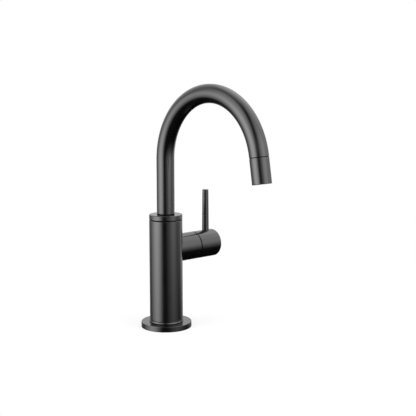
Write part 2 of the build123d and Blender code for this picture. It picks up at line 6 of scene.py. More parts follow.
import bmesh
import bpy
from bpy.props import FloatProperty, FloatVectorProperty, PointerProperty
from bpy.types import Operator, Panel, PropertyGroup
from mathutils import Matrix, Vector


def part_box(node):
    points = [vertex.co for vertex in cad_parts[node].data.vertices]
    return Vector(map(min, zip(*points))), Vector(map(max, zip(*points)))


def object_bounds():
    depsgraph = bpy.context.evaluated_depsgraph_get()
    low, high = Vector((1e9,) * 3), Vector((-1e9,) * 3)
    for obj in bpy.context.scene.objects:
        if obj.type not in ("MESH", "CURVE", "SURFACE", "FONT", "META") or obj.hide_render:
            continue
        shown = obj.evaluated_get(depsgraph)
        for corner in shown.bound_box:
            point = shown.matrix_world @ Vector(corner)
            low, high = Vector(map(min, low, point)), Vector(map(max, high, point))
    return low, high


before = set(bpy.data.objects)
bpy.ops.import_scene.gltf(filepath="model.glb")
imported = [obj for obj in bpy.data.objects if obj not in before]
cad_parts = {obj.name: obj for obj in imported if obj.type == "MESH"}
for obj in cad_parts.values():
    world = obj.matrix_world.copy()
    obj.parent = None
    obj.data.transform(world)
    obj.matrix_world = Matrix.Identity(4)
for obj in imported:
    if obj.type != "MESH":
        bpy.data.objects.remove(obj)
cad_low, cad_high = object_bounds()

bl_info = {
    "name": "Beverage faucet",
    "version": (1, 0, 0),
    "blender": (4, 5, 0),
    "location": "3D View > Sidebar > Faucet",
    "description": "Finishes a beverage faucet and sets its studio",
    "category": "Object",
}

MM = 0.001

UPRIGHT = (0.0, 0.0, 1.0)  # way of the column's axis
ACROSS = (1.0, 0.0, 0.0)  # way of the hub's axis
TIP_WAY = (0.0, -0.1633, -0.9866)  # way the water leaves
BLACK = (0.0, 0.0, 0.0)
WHITE = (1.0, 1.0, 1.0)
GROOVE_SLACK = 0.06 * MM  # how far past its width a groove's mask reaches
BEVEL_SAMPLES = 6
EDGE_TURN = 0.25  # how far a rounded edge has to turn to count fully as an edge
SENSOR_WIDTH = 36.0  # in millimetres, of the camera
SURROUND_RADIUS = 12.0  # in metres
SURROUND_DETAIL = 4  # times that the surround's faces are divided
FLOOR_SEGMENTS = 96  # sides of the round floor


class Signal:
    """One output of a node. Sums and products of it add the Math nodes they need."""

    def __init__(self, graph, socket):
        self.graph = graph
        self.socket = socket

    def maths(self, operation, *terms, clamp=False):
        settings = {"operation": operation, "use_clamp": clamp}
        return self.graph.add("ShaderNodeMath", settings, dict(enumerate(terms)))["Value"]

    def __add__(self, other):
        return self.maths("ADD", self, other)

    def __radd__(self, other):
        return self.maths("ADD", other, self)

    def __sub__(self, other):
        return self.maths("SUBTRACT", self, other)

    def __rsub__(self, other):
        return self.maths("SUBTRACT", other, self)

    def __mul__(self, other):
        return self.maths("MULTIPLY", self, other)

    def __rmul__(self, other):
        return self.maths("MULTIPLY", other, self)

    def clamped(self):
        return self.maths("ADD", self, 0.0, clamp=True)

    def squared(self):
        return self.maths("POWER", self, 2.0)

    def swing(self, reach):
        """Turns 0 to 1 into a change of half the reach down to half the reach up."""
        return (self - 0.5) * reach

    def between(self, low, high):
        """1 from low to high, 0 elsewhere."""
        return self.maths("GREATER_THAN", self, low) * self.maths("LESS_THAN", self, high)

    def smooth(self, low, high):
        """Runs from 0 at low to 1 at high, with soft ends."""
        sockets = {"Value": self, "From Min": low, "From Max": high}
        settings = {"interpolation_type": "SMOOTHSTEP"}
        return self.graph.add("ShaderNodeMapRange", settings, sockets)["Result"]


class Graph:
    """The node tree of a material, a lamp or the world, emptied and ready for new nodes."""

    def __init__(self, owner):
        owner.use_nodes = True
        self.tree = owner.node_tree
        self.tree.nodes.clear()

    def add(self, kind, settings, sockets):
        """Adds a node, its settings first, then the values or links of its sockets."""
        node = self.tree.nodes.new(kind)
        for name, value in settings.items():
            setattr(node, name, value)
        usable = [socket for socket in node.inputs if socket.enabled]
        for name, value in sockets.items():
            target = usable[name] if isinstance(name, int) else self.pick(usable, name)
            if isinstance(value, Signal):
                self.tree.links.new(value.socket, target)
            else:
                target.default_value = value
        return {socket.name: Signal(self, socket) for socket in node.outputs if socket.enabled}

    @staticmethod
    def pick(sockets, name):
        matching = [socket for socket in sockets if socket.name == name]
        if not matching:
            raise KeyError(f"no socket named {name}: {[socket.name for socket in sockets]}")
        return matching[0]

    def place(self):
        """The point on the surface, in metres in the object's own frame."""
        return self.add("ShaderNodeTexCoord", {}, {})["Object"]

    def vector(self, operation, *terms):
        """A vector worked out from vectors."""
        settings = {"operation": operation}
        return self.add("ShaderNodeVectorMath", settings, dict(enumerate(terms)))["Vector"]

    def measure(self, operation, *terms):
        """A number worked out from vectors."""
        settings = {"operation": operation}
        return self.add("ShaderNodeVectorMath", settings, dict(enumerate(terms)))["Value"]

    def along(self, vector, direction):
        """How far a point lies along a direction."""
        return self.measure("DOT_PRODUCT", vector, direction)

    def groove(self, place, groove):
        """A mask of what lies in a groove round an axis, times the share of painted shade that the
        groove gets.
        """
        offset = self.vector("SUBTRACT", place, groove.centre)
        station = self.along(offset, groove.axis)
        radius = self.measure("LENGTH", self.vector("CROSS_PRODUCT", offset, groove.axis))
        in_width = station.between(-GROOVE_SLACK, groove.width + GROOVE_SLACK)
        return in_width * radius.between(0.0, groove.radius) * groove.share

    def noise(self, vector, size, detail=2.0, roughness=0.5):
        """Noise whose features are about size metres wide."""
        sockets = {"Vector": vector, "Scale": 1.0 / size, "Detail": detail, "Roughness": roughness}
        return self.add("ShaderNodeTexNoise", {}, sockets)["Fac"]

    def rings(self, station, size, detail):
        """Noise that varies only along a line, with rings about size metres wide."""
        sockets = {"W": station, "Scale": 1.0 / size, "Detail": detail}
        return self.add("ShaderNodeTexNoise", {"noise_dimensions": "1D"}, sockets)["Fac"]

    def blend(self, factor, start, end):
        """A colour between two colours."""
        sockets = {"Factor": factor, "A": start, "B": end}
        return self.add("ShaderNodeMix", {"data_type": "RGBA"}, sockets)["Result"]

    def shades(self, factor, rgb, dark, light):
        """A colour that varies between two shares of itself."""
        return self.blend(factor, colour(rgb, dark), colour(rgb, light))

    def bright_edges(self, tone, edge, rgb, cover, light):
        """A tone whose edges turn to a share of a colour, as far as cover goes."""
        return self.blend(edge * cover, tone, colour(rgb, light))

    def bump(self, height, depth, normal=None):
        """The normal of a surface whose relief is depth metres times height."""
        sockets = {"Height": height, "Distance": depth, "Strength": 1.0}
        if normal is not None:
            sockets["Normal"] = normal
        return self.add("ShaderNodeBump", {}, sockets)["Normal"]

    def edge(self, width):
        """The normal rounded over each sharp edge, and a mask of the edges."""
        settings = {"samples": BEVEL_SAMPLES}
        rounded = self.add("ShaderNodeBevel", settings, {"Radius": width})["Normal"]
        flat = self.add("ShaderNodeNewGeometry", {}, {})["Normal"]
        sameness = self.along(rounded, flat)
        return rounded, (1.0 - sameness).smooth(low=0.0, high=EDGE_TURN)

    def principled(self, sockets):
        return self.add("ShaderNodeBsdfPrincipled", {}, sockets)["BSDF"]

    def mix(self, factor, start, end):
        """A surface between two surfaces."""
        return self.add("ShaderNodeMixShader", {}, {0: factor, 1: start, 2: end})["Shader"]

    def finish(self, surface):
        """Ends a material's tree in its surface."""
        self.add("ShaderNodeOutputMaterial", {}, {"Surface": surface})


def colour(rgb, share=1.0):
    """An opaque colour, darkened or lightened by share."""
    return (rgb[0] * share, rgb[1] * share, rgb[2] * share, 1.0)


def dress(material, *nodes):
    """Gives CAD nodes their material."""
    for name in nodes:
        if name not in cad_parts:
            raise RuntimeError(f"the frame has no node named {name}")
        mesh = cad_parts[name].data
        mesh.materials.clear()
        mesh.materials.append(material)


def new_graph(name):
    """A new material of that name and its empty node tree."""
    material = bpy.data.materials.new(name)
    return material, Graph(material)


def black_coat(name, settings, seed, *grooves):
    """Satin black coating: fine even grain, faint cloudiness, and edges a little smoother and
    lighter, the lighter colour partly rubbed wear and partly a painted edge highlight.

    In the grooves it turns darker, matt and barely reflective: painted shade where the grooves lie
    in shadow."""
    material, graph = new_graph(name)
    spot = graph.place()
    place = graph.vector("ADD", spot, (seed, 0.0, 0.0))
    rounded, edge = graph.edge(settings.edge_width)
    cloud = graph.noise(place, settings.cloud_size, detail=3.0)
    grain = graph.noise(place, settings.grain_size, detail=2.0)
    speck = graph.noise(place, settings.speck_size, detail=4.0, roughness=0.7)
    mottle = (cloud * 0.6 + speck * 0.4).smooth(low=0.3, high=0.7)
    tone = graph.shades(mottle, settings.colour, dark=0.8, light=1.25)
    swing = cloud.swing(2.0 * settings.roughness_spread)
    roughness = settings.roughness + swing - edge * settings.edge_polish
    surface = graph.principled({
        # Lighter edges: partly rubbed wear, partly a painted edge highlight.
        "Base Color": graph.bright_edges(
            tone, edge, settings.rubbed_and_highlit_colour, cover=settings.edge_wear_and_highlight, light=1.0
        ),
        "Roughness": roughness.clamped(),
        "IOR": settings.ior,
        "Normal": graph.bump(grain, settings.grain_depth, rounded),
    })
    # Painted shade: inside the grooves the coat is darkened, made matt and almost stops reflecting.
    if grooves:
        inside = sum(graph.groove(spot, groove) for groove in grooves).clamped()
        painted_shade = graph.principled({
            "Base Color": graph.shades(speck, settings.colour, dark=0.4, light=0.6),
            "Roughness": settings.groove_roughness,
            "IOR": settings.groove_ior,
        })
        surface = graph.mix(inside, surface, painted_shade)
    graph.finish(surface)
    return material


def turned_metal(name, settings, axis):
    """Metal turned on a lathe: fine rings round its axis, and a faint tarnish."""
    material, graph = new_graph(name)
    place = graph.place()
    rings = graph.rings(graph.along(place, axis), settings.line_size, detail=3.0)
    tarnish = graph.noise(place, settings.tarnish_size, detail=4.0, roughness=0.6)
    rounded, edge = graph.edge(settings.edge_width)
    clean = 1.0 - tarnish.smooth(low=0.35, high=0.75)
    tone = graph.shades(clean, settings.colour, dark=0.72, light=1.05)
    graph.finish(graph.principled({
        "Base Color": graph.bright_edges(tone, edge, settings.colour, cover=0.5, light=1.25),
        "Metallic": 1.0,
        "Roughness": (settings.roughness + tarnish.swing(0.2) + rings.swing(0.12)).clamped(),
        "Normal": graph.bump(rings, settings.line_depth, rounded),
    }))
    return material


def rubber(name, settings):
    """Moulded rubber: near black, matt, with a fine mottle and a pale bloom on it."""
    material, graph = new_graph(name)
    place = graph.place()
    mottle = graph.noise(place, settings.mottle_size, detail=3.0)
    cloud = graph.noise(place, settings.bloom_size, detail=4.0, roughness=0.65)
    bloom = cloud.smooth(low=0.5, high=0.8) * 0.5
    graph.finish(graph.principled({
        "Base Color": graph.blend(bloom, colour(settings.colour), colour(settings.bloom_colour)),
        "Roughness": (settings.roughness + mottle.swing(0.12)).clamped(),
        "Specular IOR Level": 0.35,
        "Normal": graph.bump(mottle, settings.mottle_depth),
    }))
    return material


def moulded_plastic(name, settings):
    """Moulded plastic: even colour with faint flow marks and a spark eroded mould's texture."""
    material, graph = new_graph(name)
    place = graph.place()
    drawn_out = graph.vector("MULTIPLY", place, (1.0, 1.0, 0.35))
    flow = graph.noise(drawn_out, settings.flow_size, detail=3.0)
    texture = graph.noise(place, settings.texture_size, detail=2.0)
    rounded, edge = graph.edge(settings.edge_width)
    streaks = flow.smooth(low=0.3, high=0.7)
    tone = graph.shades(streaks, settings.colour, dark=0.93, light=1.05)
    graph.finish(graph.principled({
        "Base Color": graph.bright_edges(tone, edge, settings.colour, cover=0.4, light=1.2),
        "Roughness": (settings.roughness + texture.swing(0.15)).clamped(),
        "Subsurface Weight": 0.1,
        "Subsurface Scale": 0.6 * MM,
        "Normal": graph.bump(texture, settings.texture_depth, rounded),
    }))
    return material


def strip_steel(name, settings):
    """Stainless strip and wire: rolled grain one way, brighter at its cut edges."""
    material, graph = new_graph(name)
    place = graph.place()
    drawn_out = graph.vector("MULTIPLY", place, (1.0, 8.0, 8.0))
    grain = graph.noise(drawn_out, settings.grain_length, detail=4.0, roughness=0.6)
    stain = graph.noise(place, settings.stain_size, detail=3.0)
    rounded, edge = graph.edge(settings.edge_width)
    mottle = (grain * 0.6 + stain * 0.4).smooth(low=0.3, high=0.7)
    tone = graph.shades(mottle, settings.colour, dark=0.82, light=1.12)
    graph.finish(graph.principled({
        "Base Color": graph.bright_edges(tone, edge, settings.colour, cover=0.5, light=1.35),
        "Metallic": 1.0,
        "Roughness": (settings.roughness + grain.swing(0.25)).clamped(),
        "Normal": graph.bump(grain, settings.grain_depth, rounded),
    }))
    return material


def lapped_ceramic(name, settings):
    """Lapped alumina: warm white, almost polished, with a fine darker fleck."""
    material, graph = new_graph(name)
    place = graph.place()
    crystals = graph.noise(place, settings.fleck_size, detail=3.0, roughness=0.7)
    fleck = crystals.smooth(low=0.62, high=0.78)
    cloud = graph.noise(place, settings.cloud_size, detail=2.0)
    tone = graph.shades(cloud, settings.colour, dark=0.95, light=1.04)
    graph.finish(graph.principled({
        "Base Color": graph.blend(fleck * 0.35, tone, colour(settings.colour, 0.6)),
        "Roughness": (settings.roughness + fleck * 0.2 + cloud.swing(0.05)).clamped(),
        "Normal": graph.bump(cloud, settings.cloud_depth),
    }))
    return material


class CoatSettings(PropertyGroup):
    """The black coating on everything that shows."""

    colour: FloatVectorProperty(
        name="Colour", description="Colour of the coating", subtype="COLOR",
        default=(0.0046, 0.0046, 0.0048), min=0.0, max=1.0,
    )
    # Colour of the edges: partly rubbed wear, partly a painted edge highlight.
    rubbed_and_highlit_colour: FloatVectorProperty(
        name="Rubbed colour", description="Colour where an edge is rubbed", subtype="COLOR",
        default=(0.030, 0.029, 0.028), min=0.0, max=1.0,
    )
    roughness: FloatProperty(
        name="Roughness", description="How satin the coating is",
        default=0.175, min=0.0, max=1.0, subtype="FACTOR",
    )
    roughness_spread: FloatProperty(
        name="Roughness spread", description="How far the roughness strays over the surface",
        default=0.02, min=0.0, max=0.5,
    )
    ior: FloatProperty(
        name="Index of refraction", description="How strongly the coating reflects",
        default=1.8, min=1.0, max=3.0,
    )
    cloud_size: FloatProperty(
        name="Cloud size", description="Width of the faint clouds in the coating",
        default=14.0 * MM, unit="LENGTH",
    )
    grain_size: FloatProperty(
        name="Grain size", description="Width of the coating's grains",
        default=0.22 * MM, unit="LENGTH",
    )
    grain_depth: FloatProperty(
        name="Grain depth", description="Height of the coating's grains",
        default=0.0012 * MM, unit="LENGTH",
    )
    speck_size: FloatProperty(
        name="Speck size", description="Width of the lighter and darker specks in the coating",
        default=0.66 * MM, unit="LENGTH",
    )
    edge_width: FloatProperty(
        name="Edge width", description="How far the coating rounds each edge",
        default=0.15 * MM, unit="LENGTH",
    )
    # How far the edges take that colour: partly rubbed wear, partly a painted edge highlight.
    edge_wear_and_highlight: FloatProperty(
        name="Edge wear", description="How much the edges show the rubbed colour",
        default=0.35, min=0.0, max=1.0, subtype="FACTOR",
    )
    edge_polish: FloatProperty(
        name="Edge polish", description="How much smoother the edges are",
        default=0.04, min=0.0, max=0.5,
    )
    # Painted shade in the grooves: a darker, matt and barely reflecting coat stands in for their
    # shadow.
    groove_roughness: FloatProperty(
        name="Groove roughness", description="How matt the coating is inside the grooves",
        default=0.75, min=0.0, max=1.0, subtype="FACTOR",
    )
    groove_ior: FloatProperty(
        name="Groove index of refraction",
        description="How strongly the coating reflects inside the grooves",
        default=1.1, min=1.0, max=3.0,
    )


class GrooveSettings(PropertyGroup):
    """The shadow grooves between the pieces."""

    collar_width: FloatProperty(
        name="Collar gap", description="Width of the gap under the flange's collar",
        default=0.6 * MM, unit="LENGTH",
    )
    collar_height: FloatProperty(
        name="Collar height", description="Height of the flange's collar over that gap",
        default=1.4 * MM, unit="LENGTH",
    )
    foot_width: FloatProperty(
        name="Foot groove", description="Width of the groove under the column",
        default=0.4 * MM, unit="LENGTH",
    )
    cap_width: FloatProperty(
        name="Cap groove", description="Width of the groove under the cap's rim",
        default=1.0 * MM, unit="LENGTH",
    )
    tube_width: FloatProperty(
        name="Tube groove", description="Width of the groove in the tube on top of the cap",
        default=0.9 * MM, unit="LENGTH",
    )
    hub_width: FloatProperty(
        name="Hub joint", description="Width of the gap between the two halves of the hub",
        default=0.9 * MM, unit="LENGTH",
    )
    # How strongly the hub's joint gets the painted shade.
    hub_shade_share: FloatProperty(
        name="Hub joint's matt share",
        description="How much of the hub's joint is left as sprayed",
        default=0.7, min=0.0, max=1.0, subtype="FACTOR",
    )
    tip_width: FloatProperty(
        name="Tip joint", description="Width of the gap between the tube and its tip",
        default=0.7 * MM, unit="LENGTH",
    )
    tip_place: FloatVectorProperty(
        name="Tip joint's place", description="Middle of the tube's end, where the tip starts",
        subtype="TRANSLATION", unit="LENGTH", default=(0.0, -0.13803, 0.19135),
    )
    skin: FloatProperty(
        name="Skin", description="Depth from which a groove's walls count as its inside",
        default=0.2 * MM, unit="LENGTH",
    )


class BrassSettings(PropertyGroup):
    """The machined brass inside the faucet."""

    colour: FloatVectorProperty(
        name="Colour", description="Colour of clean brass", subtype="COLOR",
        default=(0.72, 0.54, 0.26), min=0.0, max=1.0,
    )
    roughness: FloatProperty(
        name="Roughness", description="How dull the machined brass is",
        default=0.32, min=0.0, max=1.0, subtype="FACTOR",
    )
    line_size: FloatProperty(
        name="Tool line width", description="Width of the marks that the lathe tool leaves",
        default=0.12 * MM, unit="LENGTH",
    )
    line_depth: FloatProperty(
        name="Tool line depth", description="Depth of the marks that the lathe tool leaves",
        default=0.004 * MM, unit="LENGTH",
    )
    tarnish_size: FloatProperty(
        name="Tarnish size", description="Width of the faintly tarnished patches",
        default=9.0 * MM, unit="LENGTH",
    )
    edge_width: FloatProperty(
        name="Edge width", description="How far each machined edge is rounded",
        default=0.12 * MM, unit="LENGTH",
    )


class RubberSettings(PropertyGroup):
    """The seals, washers and gasket."""

    colour: FloatVectorProperty(
        name="Colour", description="Colour of the rubber", subtype="COLOR",
        default=(0.018, 0.018, 0.018), min=0.0, max=1.0,
    )
    bloom_colour: FloatVectorProperty(
        name="Bloom colour", description="Colour of the pale bloom on the rubber",
        subtype="COLOR", default=(0.060, 0.060, 0.058), min=0.0, max=1.0,
    )
    roughness: FloatProperty(
        name="Roughness", description="How matt the rubber is",
        default=0.7, min=0.0, max=1.0, subtype="FACTOR",
    )
    mottle_size: FloatProperty(
        name="Mottle size", description="Width of the mould's fine mottle on the rubber",
        default=0.35 * MM, unit="LENGTH",
    )
    mottle_depth: FloatProperty(
        name="Mottle depth", description="Height of the mould's fine mottle on the rubber",
        default=0.012 * MM, unit="LENGTH",
    )
    bloom_size: FloatProperty(
        name="Bloom size", description="Width of the patches of pale bloom",
        default=4.0 * MM, unit="LENGTH",
    )


class PlasticSettings(PropertyGroup):
    """The bush, the glide washer and the flow straightener."""

    colour: FloatVectorProperty(
        name="Colour", description="Colour of the plastic", subtype="COLOR",
        default=(0.55, 0.55, 0.53), min=0.0, max=1.0,
    )
    roughness: FloatProperty(
        name="Roughness", description="How matt the plastic is",
        default=0.42, min=0.0, max=1.0, subtype="FACTOR",
    )
    flow_size: FloatProperty(
        name="Flow mark size", description="Width of the faint marks that the flowing plastic left",
        default=6.0 * MM, unit="LENGTH",
    )
    texture_size: FloatProperty(
        name="Texture size", description="Width of the mould's texture",
        default=0.18 * MM, unit="LENGTH",
    )
    texture_depth: FloatProperty(
        name="Texture depth", description="Height of the mould's texture",
        default=0.006 * MM, unit="LENGTH",
    )
    edge_width: FloatProperty(
        name="Edge width", description="How far each moulded edge is rounded",
        default=0.1 * MM, unit="LENGTH",
    )


class SteelSettings(PropertyGroup):
    """The clips, the retaining ring, the screen and the grub screw."""

    colour: FloatVectorProperty(
        name="Colour", description="Colour of the steel", subtype="COLOR",
        default=(0.55, 0.55, 0.54), min=0.0, max=1.0,
    )
    roughness: FloatProperty(
        name="Roughness", description="How dull the steel is",
        default=0.3, min=0.0, max=1.0, subtype="FACTOR",
    )
    grain_length: FloatProperty(
        name="Grain length", description="Length of the rolled grain, eight times its width",
        default=1.2 * MM, unit="LENGTH",
    )
    grain_depth: FloatProperty(
        name="Grain depth", description="Depth of the rolled grain",
        default=0.004 * MM, unit="LENGTH",
    )
    stain_size: FloatProperty(
        name="Stain size", description="Width of the faintly stained patches",
        default=5.0 * MM, unit="LENGTH",
    )
    edge_width: FloatProperty(
        name="Edge width", description="How far each cut edge is rounded",
        default=0.08 * MM, unit="LENGTH",
    )


class CeramicSettings(PropertyGroup):
    """The valve's two discs."""

    colour: FloatVectorProperty(
        name="Colour", description="Colour of the ceramic", subtype="COLOR",
        default=(0.85, 0.84, 0.80), min=0.0, max=1.0,
    )
    roughness: FloatProperty(
        name="Roughness", description="How rough the lapped faces are",
        default=0.12, min=0.0, max=1.0, subtype="FACTOR",
    )
    fleck_size: FloatProperty(
        name="Fleck size", description="Width of the darker flecks",
        default=0.3 * MM, unit="LENGTH",
    )
    cloud_size: FloatProperty(
        name="Cloud size", description="Width of the faint clouds in the ceramic",
        default=3.0 * MM, unit="LENGTH",
    )
    cloud_depth: FloatProperty(
        name="Cloud depth", description="Height of the faint waves left by lapping",
        default=0.001 * MM, unit="LENGTH",
    )


class StudioSettings(PropertyGroup):
    """Camera, floor, lamps and the air round the faucet."""

    camera_place: FloatVectorProperty(
        name="Camera place", description="Where the camera stands", subtype="TRANSLATION",
        unit="LENGTH", default=(-0.5691, -0.6913, 0.2539),
    )
    camera_aim: FloatVectorProperty(
        name="Camera aim", description="The point that the camera looks at",
        subtype="TRANSLATION", unit="LENGTH", default=(0.0191, -0.0460, 0.1320),
    )
    lens: FloatProperty(
        name="Lens", description="Focal length for a 36 mm wide picture",
        default=73.26, min=10.0, unit="CAMERA",
    )
    floor_radius: FloatProperty(
        name="Floor radius", description="How far the floor reaches before it has faded out",
        default=0.55, min=0.1, unit="LENGTH",
    )
    floor_colour: FloatVectorProperty(
        name="Floor colour", description="Colour of the floor", subtype="COLOR",
        default=(0.93, 0.93, 0.93), min=0.0, max=1.0,
    )
    floor_mottle: FloatProperty(
        name="Floor mottle", description="Width of the floor's very faint clouds",
        default=30.0 * MM, unit="LENGTH",
    )
    floor_share: FloatProperty(
        name="Floor share", description="How far the floor and its shadows cover the white air",
        default=0.35, min=0.0, max=1.0, subtype="FACTOR",
    )
    floor_lift: FloatProperty(
        name="Floor lift", description="How much brighter the camera sees the floor",
        default=0.3, min=0.0, max=1.0,
    )
    room_light: FloatProperty(
        name="Room light", description="Even light from all round on matt surfaces",
        default=0.05, min=0.0, max=1.0,
    )
    lamp_distance: FloatProperty(
        name="Lamp distance", description="From the faucet to each soft box",
        default=2.0, min=0.5, unit="LENGTH",
    )
    left_brightness: FloatProperty(
        name="Left soft box", description="Brightness at its middle, where 1 is white",
        default=1.76, min=0.0,
    )
    high_left_brightness: FloatProperty(
        name="High left soft box", description="Brightness at its middle, where 1 is white",
        default=2.14, min=0.0,
    )
    right_brightness: FloatProperty(
        name="Right soft box", description="Brightness at its middle, where 1 is white",
        default=0.74, min=0.0,
    )
    high_right_brightness: FloatProperty(
        name="High right soft box", description="Brightness at its middle, where 1 is white",
        default=1.60, min=0.0,
    )
    back_brightness: FloatProperty(
        name="Back soft box", description="Brightness at its middle, where 1 is white",
        default=0.87, min=0.0,
    )
    low_back_brightness: FloatProperty(
        name="Low back soft box", description="Brightness at its middle, where 1 is white",
        default=0.66, min=0.0,
    )
    top_brightness: FloatProperty(
        name="Top soft box", description="Brightness at its middle, where 1 is white",
        default=1.23, min=0.0,
    )
    front_brightness: FloatProperty(
        name="Front soft box", description="Brightness at its middle, where 1 is white",
        default=0.3, min=0.0,
    )


class Groove:
    """A groove round an axis: where it starts, which way it runs, its width and outer radius,
    and how strongly its walls get the painted shade."""

    def __init__(self, centre, axis, width, radius, share=1.0):
        self.centre, self.axis, self.width, self.radius = centre, axis, width, radius
        self.share = share


def collar_gap(settings):
    """The gap between the flange and its collar."""
    low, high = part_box("column_shell")
    collar_foot = low.z - settings.foot_width - settings.collar_height
    start = collar_foot - settings.collar_width
    return Groove((0.0, 0.0, start), UPRIGHT, settings.collar_width, high.y)


def foot_groove(settings):
    """The groove between the flange's collar and the column."""
    low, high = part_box("column_shell")
    start = low.z - settings.foot_width
    return Groove((0.0, 0.0, start), UPRIGHT, settings.foot_width, high.y - settings.skin)


def cap_groove(settings):
    """The groove between the column and the cap's rim."""
    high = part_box("column_shell")[1]
    return Groove((0.0, 0.0, high.z), UPRIGHT, settings.cap_width, high.y - settings.skin)


def tube_groove(settings):
    """The groove between the cap and the tube."""
    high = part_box("column_cap")[1]
    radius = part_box("spout_journal")[1].y - settings.skin
    return Groove((0.0, 0.0, high.z), UPRIGHT, settings.tube_width, radius)


def hub_joint(settings):
    """The gap between the fixed and the turning half of the hub."""
    low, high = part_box("hub_sleeve")
    centre = (high.x, 0.0, (low.z + high.z) / 2)
    return Groove(centre, ACROSS, settings.hub_width, high.y - settings.skin, settings.hub_shade_share)


def tip_joint(settings):
    """The gap between the tube's end and the tip."""
    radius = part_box("spout_journal")[1].y - settings.skin
    return Groove(settings.tip_place, TIP_WAY, settings.tip_width, radius)


class FAUCET_OT_flange(Operator):
    """Coats the flange"""

    bl_idname = "faucet.flange"
    bl_label = "Flange"

    def execute(self, context):
        coat, grooves = context.scene.faucet_coat, context.scene.faucet_grooves
        flange = black_coat("flange_coat", coat, 0.1, collar_gap(grooves), foot_groove(grooves))
        dress(flange, "base_flange")
        return {"FINISHED"}


class FAUCET_OT_column(Operator):
    """Coats the column and its cap"""

    bl_idname = "faucet.column"
    bl_label = "Column and cap"

    def execute(self, context):
        coat, grooves = context.scene.faucet_coat, context.scene.faucet_grooves
        under_cap = cap_groove(grooves)
        dress(black_coat("column_coat", coat, 0.2, foot_groove(grooves), under_cap), "column_shell")
        dress(black_coat("cap_coat", coat, 0.3, under_cap), "column_cap")
        return {"FINISHED"}


class FAUCET_OT_spout(Operator):
    """Coats the gooseneck and its tip"""

    bl_idname = "faucet.spout"
    bl_label = "Gooseneck and tip"

    def execute(self, context):
        coat, grooves = context.scene.faucet_coat, context.scene.faucet_grooves
        joint = tip_joint(grooves)
        dress(black_coat("tube_coat", coat, 0.4, tube_groove(grooves), joint), "spout_tube")
        dress(black_coat("tip_coat", coat, 0.5, joint), "aerator_housing")
        return {"FINISHED"}


class FAUCET_OT_hub(Operator):
    """Coats the two halves of the side hub"""

    bl_idname = "faucet.hub"
    bl_label = "Side hub"

    def execute(self, context):
        coat = context.scene.faucet_coat
        joint = hub_joint(context.scene.faucet_grooves)
        dress(black_coat("sleeve_coat", coat, 0.6, joint), "hub_sleeve")
        dress(black_coat("handle_coat", coat, 0.7, joint), "handle_hub")
        return {"FINISHED"}


class FAUCET_OT_lever(Operator):
    """Coats the lever"""

    bl_idname = "faucet.lever"
    bl_label = "Lever"

    def execute(self, context):
        dress(black_coat("lever_coat", context.scene.faucet_coat, 0.8), "lever_rod")
        return {"FINISHED"}


class FAUCET_OT_brass(Operator):
    """Machines the brass pieces: along the column, along the hub and in the tip"""

    bl_idname = "faucet.brass"
    bl_label = "Brass pieces"

    def execute(self, context):
        brass = context.scene.faucet_brass
        dress(turned_metal("upright_brass", brass, UPRIGHT), "valve_body", "spout_journal")
        dress(
            turned_metal("hub_brass", brass, ACROSS),
            "side_nipple", "bonnet_nut", "cartridge_body", "cartridge_stem",
        )
        dress(turned_metal("tip_brass", brass, TIP_WAY), "tip_nipple")
        return {"FINISHED"}


class FAUCET_OT_seals(Operator):
    """Gives the seals, washers and gasket their rubber"""

    bl_idname = "faucet.seals"
    bl_label = "Seals"

    def execute(self, context):
        dress(
            rubber("seal_rubber", context.scene.faucet_rubber),
            "deck_gasket", "nipple_o_ring", "cartridge_o_ring", "seat_seal", "stem_o_rings",
            "spout_o_rings", "nipple_washer", "insert_washer",
        )
        return {"FINISHED"}


class FAUCET_OT_plastics(Operator):
    """Gives the bush, the glide washer and the flow straightener their plastic"""

    bl_idname = "faucet.plastics"
    bl_label = "Plastic pieces"

    def execute(self, context):
        dress(
            moulded_plastic("grey_plastic", context.scene.faucet_plastic),
            "spout_bushing", "glide_washer", "flow_straightener",
        )
        return {"FINISHED"}


class FAUCET_OT_steel(Operator):
    """Gives the clips, the retaining ring, the screen and the grub screw their steel"""

    bl_idname = "faucet.steel"
    bl_label = "Steel pieces"

    def execute(self, context):
        dress(
            strip_steel("stainless_strip", context.scene.faucet_steel),
            "flange_clip", "stem_clip", "spout_retaining_ring", "handle_set_screw",
            "outlet_screen",
        )
        return {"FINISHED"}


class FAUCET_OT_ceramics(Operator):
    """Gives the valve's discs their ceramic"""

    bl_idname = "faucet.ceramics"
    bl_label = "Ceramic discs"

    def execute(self, context):
        dress(
            lapped_ceramic("disc_ceramic", context.scene.faucet_ceramic),
            "ceramic_disc_fixed", "ceramic_disc_moving",
        )
        return {"FINISHED"}


def direction(azimuth, elevation):
    """A level angle from +X towards +Y, and a height angle, as a unit vector."""
    level, height = math.radians(azimuth), math.radians(elevation)
    return Vector((
        math.cos(height) * math.cos(level),
        math.cos(height) * math.sin(level),
        math.sin(height),
    ))


def link(obj):
    """Puts an object into the scene."""
    bpy.context.scene.collection.objects.link(obj)
    return obj


def soft_box(name, brightness, distance, azimuth, elevation, half_width, half_height):
    """A lamp that faces the faucet and fades out from its middle to its edges.

    Its place and half its width and height are angles, as seen from the faucet."""
    lamp = bpy.data.lights.new(name, "AREA")
    lamp.shape = "RECTANGLE"
    lamp.size = 2 * distance * math.tan(math.radians(half_width))
    lamp.size_y = 2 * distance * math.tan(math.radians(half_height))
    lamp.energy = brightness * math.pi * lamp.size * lamp.size_y
    graph = Graph(lamp)
    sheet = graph.add("ShaderNodeTexCoord", {}, {})["UV"]
    axes = graph.add("ShaderNodeSeparateXYZ", {}, {"Vector": sheet})
    off_middle = (axes["X"] * 2.0 - 1.0).squared() + (axes["Y"] * 2.0 - 1.0).squared()
    glow = (1.0 - off_middle).clamped().squared()
    light = graph.add("ShaderNodeEmission", {}, {"Strength": glow})["Emission"]
    graph.add("ShaderNodeOutputLight", {}, {"Surface": light})
    obj = link(bpy.data.objects.new(name, lamp))
    towards = direction(azimuth, elevation)
    obj.location = (cad_low + cad_high) / 2 + towards * distance
    obj.rotation_euler = towards.to_track_quat("Z", "Y").to_euler()
    obj.visible_camera = False


